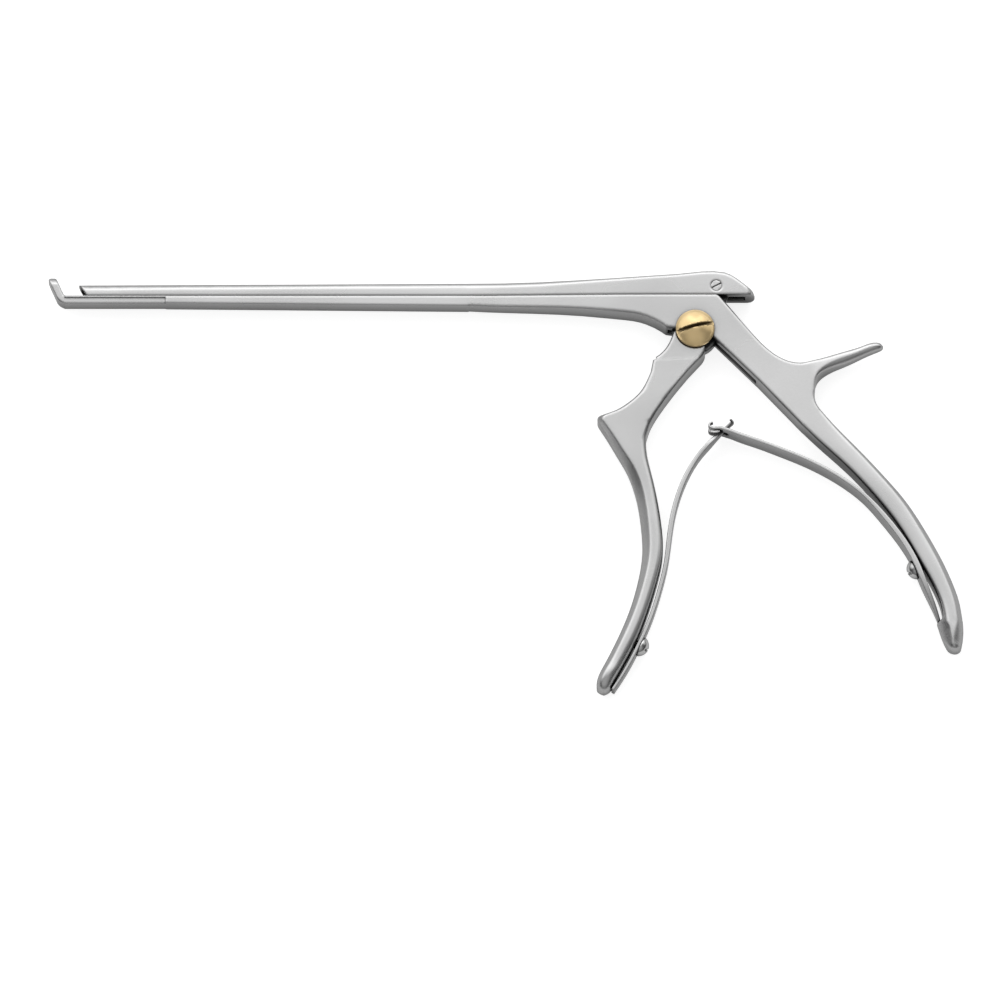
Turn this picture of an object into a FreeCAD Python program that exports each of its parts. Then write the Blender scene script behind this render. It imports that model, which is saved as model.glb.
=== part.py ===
import FreeCAD, Part
import math
import os

# A bone rongeur of the sliding-punch kind, lying on its side, at rest with the jaw open.
# X runs from the jaw to the handles, Y from the handles to the slider, and Z is the
# pivot axis, from the face that lies on the table up to the head of the pivot screw.
# The origin is where the pivot axis meets that face. Millimetres and degrees.

# Widths along the pivot axis
body_width = 9.0           # body and both handles
shaft_width = 6.4          # lower shaft and slider shaft
jaw_width = 5.6            # ground-down front of the lower shaft, and the footplate
tongue_width = 3.0         # hub and fork of the front handle
tongue_clearance = 0.1     # each side of the tongue in the frame's slot
fork_clearance = 0.2       # each side of the fork in the slider's pocket
front_spring_width = 5.2
rear_spring_width = 8.4     # at its screw
prong_width = 7.6           # rear spring across both prongs
mid = body_width / 2

# Lower shaft, jaw and footplate
tip_reach = 188.3          # pivot to the front of the footplate
rail_height = 10.5         # pivot to the sliding plane
slide_clearance = 0.05
shaft_depth = 2.3          # below the sliding plane, at the jaw
shaft_taper = 0.8          # extra depth where the shaft meets the body
jaw_section = 34.0         # length of the ground-down front
footplate_height = 5.4     # above the sliding plane
footplate_crown = 0.55      # its round top rises this far above that
footplate_thickness = 2.1
jaw_lean = 24.0            # footplate, from upright
cut_lean = 33.0            # cutting face of the slider, from upright
jaw_gap = 6.6              # open jaw at the sliding plane
jaw_clearance = 0.1        # left at the cutting edge when the jaw is shut

# Slider
slider_height = 4.05       # shaft of the slider where it meets the body
slider_front_height = 3.6  # and at the cutting edge, above the sliding plane
shaft_rounding = 2.2       # top corners of the slider shaft
tail_rounding = 1.0        # top corners of the slider tail
tail_rise = 7.3            # top of the tail above the sliding plane
tail_back = 17.4           # pivot to the end of the tail
nose_length = 2.2          # its end is rounded over this length, seen from above
flare_start = -66.0        # where the shafts begin to widen to the body
flare_end = -14.0
cup_wall = 0.7             # wall round the cavity behind the cutting edge
cup_depth = 9.0

# T rails that hold the slider down
lug_length = 14.0
lug_neck = 1.6
lug_head = 3.0
lug_head_height = 0.85
lug_lip = 0.8
lug_clearance = 0.1
front_lug_from_jaw = 12.0  # footplate face to the front lug, jaw open
rear_lug_back = -38.0      # pivot to the back of the rear lug

# Pivot and drive
pivot_diameter = 5.0
pivot_clearance = 0.04
head_diameter = 11.3
head_height = 3.7
head_slot_width = 0.95
head_slot_depth = 2.8
head_slot_angle = 14.6
nut_diameter = 8.4
nut_depth = 1.6
nut_notch_width = 1.2
nut_notch_depth = 0.7
cheek_radius = 5.3
shoulder_radius = 5.6
tongue_radius = 6.8
hub_clearance = 0.3
drive_height = 2.7         # drive screw above the sliding plane
drive_offset = 6.2         # drive screw behind the pivot, jaw open
drive_diameter = 2.5
drive_head_diameter = 3.1
drive_head_height = 0.8
drive_clearance = 0.25     # each side of the drive screw in the fork
fork_half_width = 4.2
fork_reach = 16.0
fork_corner = 1.5
seat_clearance = 0.02      # fixed screws in their holes

# Handles
edge_break = 0.45          # bevel along the body
handle_rounding = 0.7      # corners of the handles where they leave the body
grip_rounding = 2.5        # corners of the handles at their ends
handle_taper = 0.25        # taken off each face of the handles by their ends
spur_rounding = 2.2
joint_inset = 0.05         # where two forms join, one lies this far inside the other
joint_depth = 1.5
shoulder_step = 0.8        # the front handle's grip stands out from its top by this

# Springs and their screws
spring_thickness = 1.0
spring_gap = 2.8           # between the prongs of the rear spring
spring_neck = 2.2          # neck of the front spring, in that gap
crossbar_length = 7.0      # across the end of the front spring
curl_diameter = 1.5        # rolled ends of both springs
foot_width = 2.0           # pointed foot of the rear spring
spring_screw_diameter = 2.4
spring_head_diameter = 5.2
spring_head_height = 2.0
spring_screw_depth = 3.2   # into the handle

# Front handle, each pair one station: front edge point, inner edge point
front_stations = [
    ((-12.3, -9.4), (1.6, -8.7)),
    ((-13.0, -13.0), (-2.0, -12.7)),
    ((-14.9, -17.2), (-5.7, -17.3)),
    ((-16.6, -19.6), (-7.4, -19.6)),
    ((-18.6, -21.4), (-8.7, -21.4)),
    ((-22.6, -24.1), (-11.3, -25.3)),
    ((-26.3, -25.5), (-12.6, -27.6)),
    ((-28.5, -26.9), (-13.3, -29.2)),
    ((-27.9, -28.5), (-13.9, -31.0)),
    ((-25.6, -32.2), (-14.4, -33.6)),
    ((-22.7, -37.3), (-14.1, -37.8)),
    ((-20.4, -41.4), (-13.4, -41.3)),
    ((-18.6, -45.7), (-12.4, -45.4)),
    ((-16.9, -51.9), (-11.1, -51.5)),
    ((-15.8, -59.6), (-9.9, -59.3)),
    ((-15.5, -67.7), (-9.5, -67.2)),
    ((-16.6, -75.5), (-10.7, -74.4)),
    ((-19.3, -85.2), (-13.4, -84.0)),
    ((-23.3, -94.8), (-17.3, -94.6)),
    ((-26.6, -101.4), (-20.8, -101.6)),
    ((-28.5, -105.6), (-22.9, -105.4)),
]
front_end_stations = [
    ((-28.8, -107.4), (-23.9, -107.2), 0.86),
    ((-28.4, -108.9), (-25.0, -108.8), 0.62),
    ((-27.5, -109.6), (-26.1, -109.6), 0.28),
]
front_shoulder = [(-6.3, -0.8), (-6.9, -2.6), (-8.3, -5.4), (-11.4, -8.4)]
inner_shoulder = [(2.9, -6.2), (2.4, -7.6)]

# Rear handle, each pair one station: inner edge point, back edge point
rear_stations = [
    ((31.1, -29.2), (36.1, -24.0)),
    ((36.2, -34.2), (40.8, -29.4)),
    ((43.9, -41.4), (48.1, -37.0)),
    ((50.9, -49.0), (55.9, -45.6)),
    ((57.4, -57.2), (62.3, -53.6)),
    ((61.7, -63.9), (66.9, -61.0)),
    ((65.8, -71.4), (71.4, -69.3)),
    ((69.5, -78.7), (74.8, -77.0)),
    ((71.5, -84.4), (76.9, -83.8)),
    ((72.0, -88.0), (77.6, -88.0)),
]
rear_toe = (70.1, -88.0)   # the inner edge steps out here, past the end of the spring
rear_end_stations = [
    ((71.3, -92.0), (77.8, -91.8), 0.96),
    ((72.6, -95.0), (77.4, -94.8), 0.84),
    ((73.8, -96.6), (76.8, -96.5), 0.6),
    ((74.9, -97.2), (76.0, -97.2), 0.28),
]
body_underside = [(-33.6, 6.3), (-22.0, 5.3), (-16.0, 4.4), (-11.6, 2.6), (-8.5, 0.6)]
body_back = [(10.9, 5.65), (16.8, -1.45), (20.0, -4.95), (23.9, -8.1), (27.4, -9.7), (31.5, -10.1)]
spur_crook = [(35.8, -16.9), (34.7, -19.4), (34.9, -21.6)]
inner_run = (18.5, -15.7)  # point on the straight inner face of the rear handle
spur_stations = [
    ((31.5, -10.1), (35.8, -16.9), 1.0),
    ((36.8, -9.3), (39.3, -14.0), 0.9),
    ((42.9, -7.2), (44.2, -11.5), 0.72),
    ((48.6, -5.2), (49.9, -8.9), 0.58),
    ((52.6, -3.9), (53.8, -7.0), 0.5),
    ((53.9, -4.2), (54.6, -6.2), 0.34),
    ((54.6, -4.8), (54.8, -5.6), 0.14),
]

# Springs: points on the side of each leaf that faces its handle, from the foot up, and
# how many times the spring's thickness it is there.
front_leaf = [
    (-24.5, -108.4, 1.0), (-21.0, -102.8, 1.0), (-16.95, -94.7, 1.1), (-15.0, -90.3, 1.15),
    (-12.6, -83.8, 1.15), (-10.7, -77.1, 1.2), (-9.2, -70.2, 1.3), (-8.4, -63.4, 1.45),
    (-7.4, -56.5, 1.45), (-5.7, -49.7, 1.45), (-3.1, -43.2, 1.4), (0.6, -37.2, 1.25),
    (5.2, -31.9, 1.1), (10.3, -27.5, 1.0),
]
rear_leaf = [
    (71.2, -87.4, 0.9), (70.3, -84.0, 1.2), (68.8, -80.8, 1.4), (66.5, -73.9, 1.6),
    (65.25, -71.2, 1.6), (63.3, -67.2, 1.6), (59.4, -61.1, 1.6), (54.9, -55.4, 1.5),
    (49.9, -50.1, 1.2), (44.1, -45.5, 1.05), (38.0, -41.7, 1.0), (31.5, -38.4, 1.0),
    (24.8, -35.6, 1.0), (18.1, -33.0, 1.0), (11.3, -30.5, 1.0), (4.4, -28.2, 1.0),
]
front_screw_place = 2      # points of the leaves where their screws go through
rear_screw_place = 4
neck_x = (5.0, 9.6)        # the front spring is narrow from here to here
prong_root = 9.6           # and the slot of the rear spring ends here


def point(x, y, z=0.0):
    return FreeCAD.Vector(x, y, z)


def line(start, end):
    return Part.makeLine(point(*start), point(*end))


def arc(start, middle, end):
    return Part.Arc(point(*start), point(*middle), point(*end)).toShape()


def curve(points):
    spline = Part.BSplineCurve()
    spline.interpolate([point(x, y) for x, y in points])
    return spline.toShape()


def arcs(points):
    # A smooth line through the points, one arc for each span.
    spline = Part.BSplineCurve()
    spline.interpolate([point(x, y) for x, y in points])
    knots = spline.getKnots()
    spans = [[spline.value(at) for at in (a, (a + b) / 2, b)] for a, b in zip(knots, knots[1:])]
    return [Part.Arc(*span).toShape() for span in spans]


def chain(points):
    return [line(a, b) for a, b in zip(points, points[1:])]


def plate(edges, low, high):
    # A flat outline in the XY plane, raised from one height to another.
    face = Part.Face(Part.Wire(edges))
    face.translate(point(0, 0, low))
    return face.extrude(point(0, 0, high - low))


def polygon(points, low, high):
    return plate(chain(points + points[:1]), low, high)


def block(x, y, z):
    # A box from three (low, high) pairs.
    return Part.makeBox(x[1] - x[0], y[1] - y[0], z[1] - z[0], point(x[0], y[0], z[0]))


def rod(diameter, low, high, x=0.0, y=0.0):
    return Part.makeCylinder(diameter / 2, high - low, point(x, y, low))


def midway(one, other):
    return ((one[0] + other[0]) / 2, (one[1] + other[1]) / 2)


def polar(radius, degrees):
    return (radius * math.cos(math.radians(degrees)), radius * math.sin(math.radians(degrees)))


def section(start, end, half_depth, corner):
    # A rounded rectangle that stands across a limb, from one edge point to the other.
    width = math.dist(start, end)
    along = ((end[0] - start[0]) / width, (end[1] - start[1]) / width)
    corner = min(corner, 0.48 * width, 0.96 * half_depth)
    inset = corner * (1 - math.sqrt(0.5))

    def at(across, height):
        return point(start[0] + along[0] * across, start[1] + along[1] * across, mid + height)

    corners = [
        ((corner, -half_depth), (inset, inset - half_depth), (0, corner - half_depth)),
        ((0, half_depth - corner), (inset, half_depth - inset), (corner, half_depth)),
        ((width - corner, half_depth), (width - inset, half_depth - inset), (width, half_depth - corner)),
        ((width, corner - half_depth), (width - inset, inset - half_depth), (width - corner, -half_depth)),
    ]
    edges = []
    for here, following in zip(corners, corners[1:] + corners[:1]):
        first, middle, last = [at(*spot) for spot in here]
        edges.append(Part.Arc(first, middle, last).toShape())
        edges.append(Part.makeLine(last, at(*following[0])))
    return Part.Wire(edges)


def limb(rows):
    # A long rounded form. Each row gives both edge points, half the depth and the corner radius.
    return Part.makeLoft([section(*row) for row in rows], True, True)


def grip_rows(stations):
    # Handles grow rounder and a little thinner towards the end.
    steps = len(stations) - 1
    rows = []
    for index, (start, end) in enumerate(stations):
        share = index / steps
        corner = handle_rounding + (grip_rounding - handle_rounding) * share
        rows.append((start, end, mid - handle_taper * share, corner))
    return rows


def end_rows(stations):
    return [(start, end, (mid - handle_taper) * share, grip_rounding) for start, end, share in stations]


def spur_rows():
    # Sharp at the body, like the body's own edges, then round.
    rows = []
    for index, (start, end, share) in enumerate(spur_stations):
        rows.append((start, end, mid * share, spur_rounding * min(1.0, 0.25 + 0.4 * index)))
    return rows


def normal_at(before, after):
    length = math.dist(before[:2], after[:2])
    return ((after[1] - before[1]) / length, (before[0] - after[0]) / length)


def moved(points, side, distances):
    # Points moved off their line, each along its own normal.
    shifted = []
    for index, here in enumerate(points):
        before = points[max(index - 1, 0)]
        after = points[min(index + 1, len(points) - 1)]
        nx, ny = normal_at(before, after)
        shifted.append((here[0] + side * nx * distances[index], here[1] + side * ny * distances[index]))
    return shifted


def leaf(stations, side, width):
    # A flat spring: the line beside its handle, its thickness beyond that, and its width.
    near_side = [(x, y) for x, y, share in stations]
    far_side = moved(near_side, side, [spring_thickness * share for x, y, share in stations])
    ends = [line(near_side[-1], far_side[-1]), line(far_side[0], near_side[0])]
    outline = arcs(near_side) + ends[:1] + arcs(far_side[::-1]) + ends[1:]
    return plate(outline, mid - width / 2, mid + width / 2)


def screw_seat(stations, index, side):
    # Where a spring screw goes: its point beside the handle, the way out, the leaf's thickness.
    nx, ny = normal_at(stations[index - 1], stations[index + 1])
    x, y, share = stations[index]
    return (x, y), (side * nx, side * ny), spring_thickness * share


def screw_shank(seat, outward, diameter, inner_depth, outer_reach):
    start = point(seat[0] - outward[0] * inner_depth, seat[1] - outward[1] * inner_depth, mid)
    return Part.makeCylinder(diameter / 2, inner_depth + outer_reach, start, point(*outward))


def domed_head(diameter, height, base, axis):
    # A cap of a sphere on a short rim.
    rim = 0.18 * height
    dome = height - rim
    radius = ((diameter / 2) ** 2 + dome ** 2) / (2 * dome)
    profile = Part.Wire([
        Part.makeLine(point(0, 0, 0), point(diameter / 2, 0, 0)),
        Part.makeLine(point(diameter / 2, 0, 0), point(diameter / 2, 0, rim)),
        Part.Arc(
            point(diameter / 2, 0, rim),
            point(radius * math.sin(0.5 * math.asin(diameter / 2 / radius)), 0,
                  height - radius + radius * math.cos(0.5 * math.asin(diameter / 2 / radius))),
            point(0, 0, height),
        ).toShape(),
        Part.makeLine(point(0, 0, height), point(0, 0, 0)),
    ])
    head = Part.Face(profile).revolve(point(0, 0, 0), point(0, 0, 1), 360)
    head.Placement = FreeCAD.Placement(base, FreeCAD.Rotation(point(0, 0, 1), axis))
    return head


def t_section(head_width, neck_width, x, floor, head_top, neck_top):
    head = block(x, (floor, head_top), (mid - head_width / 2, mid + head_width / 2))
    neck = block(x, (floor, neck_top), (mid - neck_width / 2, mid + neck_width / 2))
    return head.fuse(neck)


# Places that follow from the sizes above
lean = math.tan(math.radians(jaw_lean))
cut = math.tan(math.radians(cut_lean))
footplate_face = -tip_reach + footplate_thickness + footplate_height * lean
cutting_face = footplate_face + jaw_gap
slider_travel = jaw_gap - slider_front_height * (cut - lean) - jaw_clearance
jaw_step = -tip_reach + jaw_section
slider_floor = rail_height + slide_clearance
lug_head_top = rail_height - lug_lip
lug_floor = lug_head_top - lug_head_height
front_lug_x = (footplate_face + jaw_gap + front_lug_from_jaw,
               footplate_face + jaw_gap + front_lug_from_jaw + lug_length)
rear_lug_x = (rear_lug_back - lug_length, rear_lug_back)
drive_y = rail_height + drive_height
fork_angle = math.degrees(math.atan2(drive_offset, drive_y))
fork_slot_width = drive_diameter + 2 * drive_clearance
slot_low = mid - tongue_width / 2 - tongue_clearance
slot_high = mid + tongue_width / 2 + tongue_clearance


def plan(half_front, back):
    # The shafts seen from above: straight, then widening smoothly to the body.
    steps = 6
    rise = []
    for step in range(steps + 1):
        share = step / steps
        rise.append((flare_start + share * (flare_end - flare_start),
                     half_front + (mid - half_front) * share * share * (3 - 2 * share)))
    front = -tip_reach
    near = [point(x, 0, mid + half) for x, half in rise]
    far = [point(x, 0, mid - half) for x, half in rise]
    near_curve = Part.BSplineCurve()
    near_curve.interpolate(near)
    far_curve = Part.BSplineCurve()
    far_curve.interpolate(far[::-1])
    edges = [
        Part.makeLine(point(front, 0, mid - half_front), point(front, 0, mid + half_front)),
        Part.makeLine(point(front, 0, mid + half_front), near[0]),
        near_curve.toShape(),
        Part.makeLine(near[-1], point(back, 0, body_width)),
        Part.makeLine(point(back, 0, body_width), point(back, 0, 0)),
        Part.makeLine(point(back, 0, 0), far[-1]),
        far_curve.toShape(),
        Part.makeLine(far[0], point(front, 0, mid - half_front)),
    ]
    return Part.Face(Part.Wire(edges))


def lower_shaft():
    # From the footplate's heel to the body, open above for the T rails.
    shaft_bottom = rail_height - shaft_depth
    body_bottom = shaft_bottom - shaft_taper
    outline = [(footplate_face, rail_height), (flare_start, rail_height), (flare_start, body_bottom),
               (jaw_step, shaft_bottom), (footplate_face, shaft_bottom)]
    low, high = mid - shaft_width / 2, mid + shaft_width / 2
    shaft = polygon(outline, low, high)
    relief = (shaft_width - jaw_width) / 2
    below = (shaft_bottom - shaft_taper, rail_height - relief)
    ahead = (footplate_face - 1, jaw_step)
    for sides in ((low, low + relief), (high - relief, high)):
        shaft = shaft.cut(block(ahead, below, sides))
    return shaft


def footplate():
    # A leaning plate with a round top, curving into the shaft's underside.
    bottom = rail_height - shaft_depth
    top = rail_height + footplate_height + footplate_crown
    inner_top = (footplate_face - footplate_height * lean, top - footplate_crown)
    crown = (inner_top[0] - 0.55 * footplate_thickness, top)
    outer_top = (inner_top[0] - 1.05 * footplate_thickness, top - footplate_crown - 0.4)
    level_thickness = footplate_thickness / math.cos(math.radians(jaw_lean))
    outer_low = (footplate_face - level_thickness + 0.2, rail_height - 0.6)
    heel = (footplate_face + 0.6, bottom)
    inner_low = (footplate_face - 0.2, rail_height + 0.35)
    edges = [
        line((heel[0], rail_height), inner_low),
        line(inner_low, inner_top),
        arc(inner_top, crown, outer_top),
        line(outer_top, outer_low),
        curve([outer_low, (outer_low[0] + 1.0, bottom + 0.62), heel]),
        line(heel, (heel[0], rail_height)),
    ]
    blade = plate(edges, 0, body_width)
    half = jaw_width / 2
    front = -tip_reach - 2
    shoulder = top - half + 0.5
    view = Part.Wire([
        Part.makeLine(point(front, bottom - 1, mid - half), point(front, shoulder, mid - half)),
        Part.Arc(point(front, shoulder, mid - half), point(front, top + 0.05, mid),
                 point(front, shoulder, mid + half)).toShape(),
        Part.makeLine(point(front, shoulder, mid + half), point(front, bottom - 1, mid + half)),
        Part.makeLine(point(front, bottom - 1, mid + half), point(front, bottom - 1, mid - half)),
    ])
    window = Part.Face(view).extrude(point(12, 0, 0))
    return blade.common(window)


def body_block():
    # Both cheeks and the root of the rear handle, as one plate with bevelled edges.
    start_y = rail_height - shaft_depth - shaft_taper
    corner = (6.8, rail_height)
    cheek_front = polar(cheek_radius, 178)
    cheek_low = polar(cheek_radius, 258)
    cheek_back = polar(cheek_radius, -23.4)
    inner, back = rear_stations[0]
    edges = [
        line((flare_start, rail_height), corner),
        line(corner, (7.2, rail_height - 0.35)),
        curve([(7.2, rail_height - 0.35)] + body_back),
        line(body_back[-1], spur_crook[0]),
        curve(spur_crook + [back]),
        line(back, inner),
        line(inner, inner_run),
        line(inner_run, cheek_back),
        arc(cheek_back, cheek_low, cheek_front),
        line(cheek_front, body_underside[-1]),
        curve(body_underside[::-1] + [(flare_start, start_y)]),
        line((flare_start, start_y), (flare_start, rail_height)),
    ]
    solid = plate(edges, 0, body_width)
    plan_solid = plan(shaft_width / 2, 60)
    plan_solid.translate(point(0, -40, 0))
    solid = solid.common(plan_solid.extrude(point(0, 60, 0)))
    return solid.makeChamfer(edge_break, bevelled_edges(solid, inner, back, start_y))


def bevelled_edges(solid, inner, back, start_y):
    # The long outer edges on both faces, without the joints to the shaft, spur and handle.
    chosen = []
    for edge in solid.Edges:
        box = edge.BoundBox
        on_face = box.ZMax < 1e-6 or box.ZMin > body_width - 1e-6
        middle = edge.valueAt((edge.FirstParameter + edge.LastParameter) / 2)
        on_joint = math.dist((middle.x, middle.y), midway(inner, back)) < 0.5
        on_spur = math.dist((middle.x, middle.y), midway(body_back[-1], spur_crook[0])) < 0.5
        on_rail = box.YMin > rail_height - 1e-6
        on_cheek = math.hypot(middle.x, middle.y) < cheek_radius + 0.1
        if on_face and not (on_joint or on_spur or on_rail or on_cheek):
            chosen.append(edge)
    return chosen


def tongue_slot():
    # The saw slot between the cheeks, which runs out in the rear handle's inner face.
    reach = tongue_radius + hub_clearance
    mouth = fork_half_width / math.cos(math.radians(fork_angle)) + hub_clearance
    top = rail_height + 1
    back_top = (top * math.tan(math.radians(fork_angle)) + mouth, top)
    outline = [
        (-reach - 0.9, top), back_top, (reach + 0.2, 4.6), (reach + 1.0, 0.5), (18.6, -15.2),
        (cheek_radius, -reach - 4), (-reach - 0.9, -reach - 4),
    ]
    return polygon(outline, slot_low, slot_high)


def rail_slots():
    # T slots under both lugs, each with an open pocket behind it where the lug drops in.
    slots = []
    head = lug_head + 2 * lug_clearance
    neck = lug_neck + 2 * lug_clearance
    floor = lug_floor - lug_clearance
    for lug in (front_lug_x, rear_lug_x):
        run = (lug[0] - slider_travel - 3 * lug_clearance, lug[1] + 3 * lug_clearance)
        pocket = (run[1], run[1] + lug_length + 4 * lug_clearance)
        slots.append(t_section(head, neck, run, floor, lug_head_top + lug_clearance, rail_height + 1))
        slots.append(block(pocket, (floor, rail_height + 1), (mid - head / 2, mid + head / 2)))
    return slots


def front_screw_seat():
    return screw_seat(front_leaf, front_screw_place, 1)


def rear_screw_seat():
    return screw_seat(rear_leaf, rear_screw_place, -1)


def screw_hole(seat, outward, thickness):
    diameter = spring_screw_diameter + 2 * seat_clearance
    return screw_shank(seat, outward, diameter, spring_screw_depth + seat_clearance, thickness + 1)


def frame_piece():
    spur = limb(spur_rows())
    swollen_end = limb(end_rows([(rear_toe, rear_stations[-1][1], 1.0)] + rear_end_stations))
    grip = limb(grip_rows(rear_stations))
    solid = body_block().fuse([lower_shaft(), footplate(), grip, swollen_end, spur])
    solid = solid.cut(tongue_slot())
    for slot in rail_slots():
        solid = solid.cut(slot)
    solid = solid.cut(rod(pivot_diameter + 2 * seat_clearance, -1, body_width + 1))
    solid = solid.cut(rod(nut_diameter + 2 * seat_clearance, -1, nut_depth))
    return solid.cut(screw_hole(*rear_screw_seat())).removeSplitter()


def fork():
    # An arm from the hub to the drive screw, with an open-ended slot and rounded tips.
    half = fork_half_width
    tip = fork_reach
    r = fork_corner
    mid_r = r * (1 - math.sqrt(0.5))
    edges = [
        line((-half, 0), (half, 0)),
        line((half, 0), (half, tip - r)),
        arc((half, tip - r), (half - mid_r, tip - mid_r), (half - r, tip)),
        line((half - r, tip), (r - half, tip)),
        arc((r - half, tip), (mid_r - half, tip - mid_r), (-half, tip - r)),
        line((-half, tip - r), (-half, 0)),
    ]
    arm = plate(edges, mid - tongue_width / 2, mid + tongue_width / 2)
    root = drive_y - drive_diameter / 2 - drive_clearance + fork_slot_width / 2
    arm = arm.cut(rod(fork_slot_width, 0, body_width, 0, root))
    arm = arm.cut(block((-fork_slot_width / 2, fork_slot_width / 2), (root, tip + 1), (0, body_width)))
    arm.rotate(point(0, 0), point(0, 0, 1), -fork_angle)
    return arm


def handle_shoulders():
    # The full-width top of the front handle, hollowed to clear the cheeks.
    first = polar(shoulder_radius, 187.2)
    lowest = polar(shoulder_radius, 242)
    last = polar(shoulder_radius, 297.7)
    outer, inner = front_stations[0]
    width = math.dist(outer, inner)
    across = ((inner[0] - outer[0]) / width, (inner[1] - outer[1]) / width)
    step = (outer[0] + across[0] * shoulder_step, outer[1] + across[1] * shoulder_step)
    edge = (inner[0] - across[0] * joint_inset, inner[1] - across[1] * joint_inset)
    # Both corners run on into the grip, so that the two parts are one forging.
    step_in = (step[0] + across[1] * joint_depth, step[1] - across[0] * joint_depth)
    edge_in = (edge[0] + across[1] * joint_depth - across[0] * joint_depth,
               edge[1] - across[0] * joint_depth - across[1] * joint_depth)
    edges = [
        arc(first, lowest, last),
        line(last, inner_shoulder[0]),
        curve(inner_shoulder + [edge]),
        line(edge, edge_in),
        line(edge_in, step_in),
        line(step_in, step),
        line(step, front_shoulder[-1]),
        curve(front_shoulder[::-1]),
        line(front_shoulder[0], first),
    ]
    solid = plate(edges, joint_inset, body_width - joint_inset)
    chosen = []
    for edge in solid.Edges:
        box = edge.BoundBox
        on_face = box.ZMax < 2 * joint_inset or box.ZMin > body_width - 2 * joint_inset
        middle = edge.valueAt((edge.FirstParameter + edge.LastParameter) / 2)
        outside = math.hypot(middle.x, middle.y) > shoulder_radius + 0.1
        if on_face and outside and edge.Curve.TypeId != "Part::GeomLine":
            chosen.append(edge)
    return solid.makeChamfer(edge_break, chosen)


def front_handle_piece():
    hub = rod(2 * tongue_radius, mid - tongue_width / 2, mid + tongue_width / 2)
    grip = limb(grip_rows(front_stations) + end_rows(front_end_stations))
    solid = handle_shoulders().fuse([hub, fork(), grip])
    solid = solid.cut(rod(pivot_diameter + 2 * pivot_clearance, -1, body_width + 1))
    return solid.cut(screw_hole(*front_screw_seat())).removeSplitter()


def slider_section(x, height, half, corner):
    # The slider seen end on: flat below, upright sides, rounded top corners.
    top = rail_height + height
    base = slider_floor
    inset = corner * (1 - math.sqrt(0.5))
    shoulder = top - corner
    points = [point(x, base, mid - half), point(x, base, mid + half)]
    bend = ((shoulder, half), (top - inset, half - inset), (top, half - corner))
    near = [point(x, y, mid + across) for y, across in bend]
    far = [point(x, y, mid - across) for y, across in bend[::-1]]
    return Part.Wire([
        Part.makeLine(points[0], points[1]),
        Part.makeLine(points[1], near[0]),
        Part.Arc(*near).toShape(),
        Part.makeLine(near[2], far[0]),
        Part.Arc(*far).toShape(),
        Part.makeLine(far[2], points[0]),
    ])


def slider_back():
    # The line of the slider's back over the flare and the tail, as height over the sliding plane.
    rise = tail_rise - slider_height
    shares = ((0.0, 0.0), (0.2, 0.02), (0.4, 0.09), (0.6, 0.20), (0.8, 0.35), (1.0, 0.55))
    flare = [(flare_start + a * (flare_end - flare_start), slider_height + rise * b) for a, b in shares]
    tail = [(-5.0, tail_rise - 0.85), (2.0, tail_rise - 0.1), (5.5, tail_rise),
            (tail_back - 8.7, tail_rise - 0.4), (tail_back - 6.9, tail_rise - 1.15),
            (tail_back - 5.2, tail_rise - 2.25), (tail_back - 3.8, tail_rise - 3.35),
            (tail_back - 2.2, 2.65), (tail_back - 1.2, 1.9), (tail_back - 0.5, 1.25),
            (tail_back - 0.05, 0.6)]
    return flare + tail


def nose_share(x):
    # How much of its width the tail still has at x: all of it up to the rounded end.
    past = max(x - (tail_back - nose_length), 0) / nose_length
    return math.sqrt(1 - min(past, 0.98) ** 2)


def slider_piece():
    half = shaft_width / 2
    wires = [slider_section(cutting_face - slider_height, slider_front_height, half, shaft_rounding)]
    for x, height in slider_back():
        share = min((x - flare_start) / (flare_end - flare_start), 1)
        ease = share * share * (3 - 2 * share)
        corner = shaft_rounding + (tail_rounding - shaft_rounding) * ease
        width = (half + (mid - half) * ease) * nose_share(x)
        wires.append(slider_section(x, height, width, min(corner, 0.45 * height, 0.8 * width)))
    solid = Part.makeLoft(wires, True, True)
    solid = solid.cut(jaw_cut())
    for lug in (front_lug_x, rear_lug_x):
        solid = solid.fuse(t_section(lug_head, lug_neck, lug, lug_floor, lug_head_top, slider_floor))
    solid = solid.cut(fork_pocket())
    solid = solid.cut(rod(drive_diameter + 2 * seat_clearance, body_width - far_thread(), body_width + 1,
                          drive_offset, drive_y))
    head_floor = body_width - drive_head_height
    head_hole = drive_head_diameter + 2 * seat_clearance
    solid = solid.cut(rod(head_hole, head_floor, body_width + 1, drive_offset, drive_y))
    return solid.removeSplitter()


def far_thread():
    # The drive screw's length: across the pocket and most of the far wall.
    return body_width - 0.9


def jaw_cut():
    # Everything ahead of the leaning cutting face, and the cup behind it.
    top = rail_height + tail_rise
    below = rail_height - lug_clearance
    ahead = polygon([(cutting_face - 20, below), (cutting_face + lug_clearance * cut, below),
                     (cutting_face - tail_rise * cut, top), (cutting_face - 20, top)], -1, body_width + 1)
    half = shaft_width / 2 - cup_wall
    low = slider_floor + 0.45
    high = rail_height + slider_front_height - cup_wall
    cup = block((cutting_face - 8, cutting_face + cup_depth), (low, high), (mid - half, mid + half))
    long_edges = [edge for edge in cup.Edges if edge.BoundBox.XLength > 1]
    return ahead.fuse(cup.makeFillet(0.9, long_edges))


def fork_pocket():
    # Room in the slider for the fork over its whole stroke, open below.
    swing = math.hypot(fork_reach, fork_half_width)
    ceiling = swing + 0.2
    front = -0.9
    back = 14.6
    half = tongue_width / 2 + fork_clearance
    outline = [(front, slider_floor - 1), (back, slider_floor - 1), (back, slider_floor + 0.9),
               (10.4, ceiling - 1.15), (8.7, ceiling - 0.3), (7.6, ceiling), (front + 1.2, ceiling - 0.4),
               (front, ceiling - 2.0)]
    return polygon(outline, mid - half, mid + half)


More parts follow.
